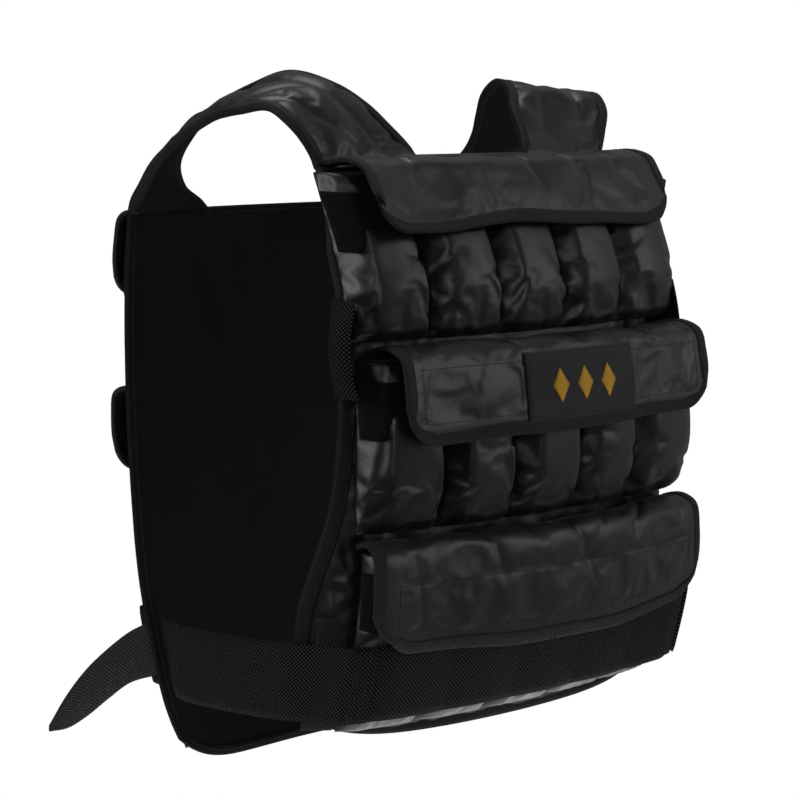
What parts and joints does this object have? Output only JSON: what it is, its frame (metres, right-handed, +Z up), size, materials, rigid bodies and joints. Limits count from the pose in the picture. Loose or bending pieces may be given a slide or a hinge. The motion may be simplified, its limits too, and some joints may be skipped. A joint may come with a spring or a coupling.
{
  "type": "weighted vest",
  "caption": "Padded training vest with shoulder straps, rows of filled pockets under bound flaps on front and back, and a webbing waist belt with a free end.",
  "frame": {"origin": "midway between the two shoulder straps, at the height where they rest on the shoulders", "axes": "+Z up, the front faces -Y, the wearer's right is -X"},
  "size_m": [0.4601, 0.367, 0.5549],
  "materials": {
    "nylon": "black nylon cloth with a soft sheen and fine wrinkles",
    "webbing": "matte black woven webbing",
    "loop_tape": "matte black loop tape",
    "label": "matte black woven patch with a plain gold thread motif"
  },
  "bodies": {
    "root": {"front_panel": "nylon", "back_panel": "nylon", "shoulder_strap_right": "nylon", "shoulder_strap_left": "nylon", "belt_side_right": "webbing", "side_tab_right": "webbing", "belt_keeper_right": "webbing", "belt_side_left": "webbing", "side_tab_left": "webbing", "belt_keeper_left": "webbing", "pocket_front_r1_c1": "nylon", "pocket_front_r1_c2": "nylon", "pocket_front_r1_c3": "nylon", "pocket_front_r1_c4": "nylon", "pocket_front_r1_c5": "nylon", "pocket_front_r2_c1": "nylon", "pocket_front_r2_c2": "nylon", "pocket_front_r2_c3": "nylon", "pocket_front_r2_c4": "nylon", "pocket_front_r2_c5": "nylon", "pocket_front_r3_c1": "nylon", "pocket_front_r3_c2": "nylon", "pocket_front_r3_c3": "nylon", "pocket_front_r3_c4": "nylon", "pocket_front_r3_c5": "nylon", "flap_front_1": "nylon", "loop_tape_front_1": "loop_tape", "flap_front_2": "nylon", "loop_tape_front_2": "loop_tape", "flap_front_3": "nylon", "loop_tape_front_3": "loop_tape", "pocket_back_r1_c1": "nylon", "pocket_back_r1_c2": "nylon", "pocket_back_r1_c3": "nylon", "pocket_back_r1_c4": "nylon", "pocket_back_r1_c5": "nylon", "pocket_back_r2_c1": "nylon", "pocket_back_r2_c2": "nylon", "pocket_back_r2_c3": "nylon", "pocket_back_r2_c4": "nylon", "pocket_back_r2_c5": "nylon", "pocket_back_r3_c1": "nylon", "pocket_back_r3_c2": "nylon", "pocket_back_r3_c3": "nylon", "pocket_back_r3_c4": "nylon", "pocket_back_r3_c5": "nylon", "flap_back_1": "nylon", "loop_tape_back_1": "loop_tape", "flap_back_2": "nylon", "loop_tape_back_2": "loop_tape", "flap_back_3": "nylon", "loop_tape_back_3": "loop_tape", "label_patch": "label", "belt_front": "webbing", "belt_back": "webbing", "belt_tail": "webbing"}
  },
  "joints": []
}
